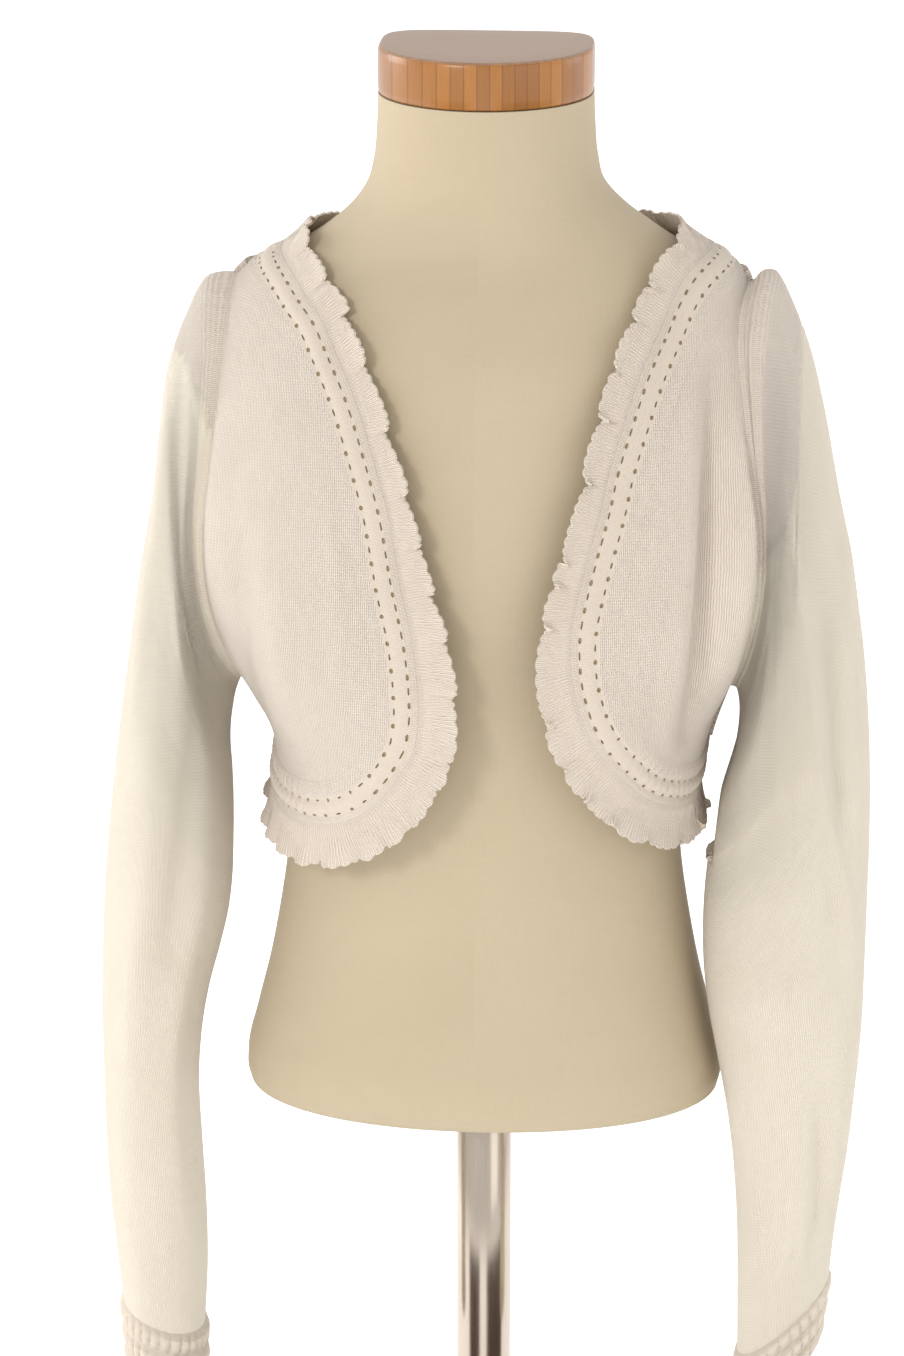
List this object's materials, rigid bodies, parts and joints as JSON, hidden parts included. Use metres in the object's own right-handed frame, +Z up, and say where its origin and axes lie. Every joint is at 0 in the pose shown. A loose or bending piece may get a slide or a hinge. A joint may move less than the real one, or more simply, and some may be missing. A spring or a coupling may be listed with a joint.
{
  "type": "cardigan on a limbless dress form",
  "caption": "Child's open-front long-sleeved cardigan with curved fronts, an eyelet trim and a ruffle, worn on a limbless dress form with a round base.",
  "frame": {"origin": "centre of the base's underside, on the floor", "axes": "+Z up, the cardigan's front faces -Y, the wearer's right at -X"},
  "size_m": [0.3485, 0.28, 0.857],
  "materials": {
    "knit": "fine ivory knit",
    "trim_knit": "ivory eyelet knit",
    "form_cloth": "stretched beige linen",
    "cap_wood": "varnished",
    "brushed_steel": "brushed",
    "base_steel": "brushed"
  },
  "bodies": {
    "root": {"back": "knit", "band_hem": "trim_knit", "band_left": "trim_knit", "band_neck": "trim_knit", "band_right": "trim_knit", "base": "base_steel", "cuff_left": "trim_knit", "cuff_right": "trim_knit", "form_body": "form_cloth", "front_left": "knit", "front_right": "knit", "neck_cap": "cap_wood", "pole": "brushed_steel", "ruffle_hem": "trim_knit", "ruffle_left": "trim_knit", "ruffle_neck": "trim_knit", "ruffle_right": "trim_knit", "sleeve_left": "knit", "sleeve_right": "knit"}
  },
  "joints": []
}
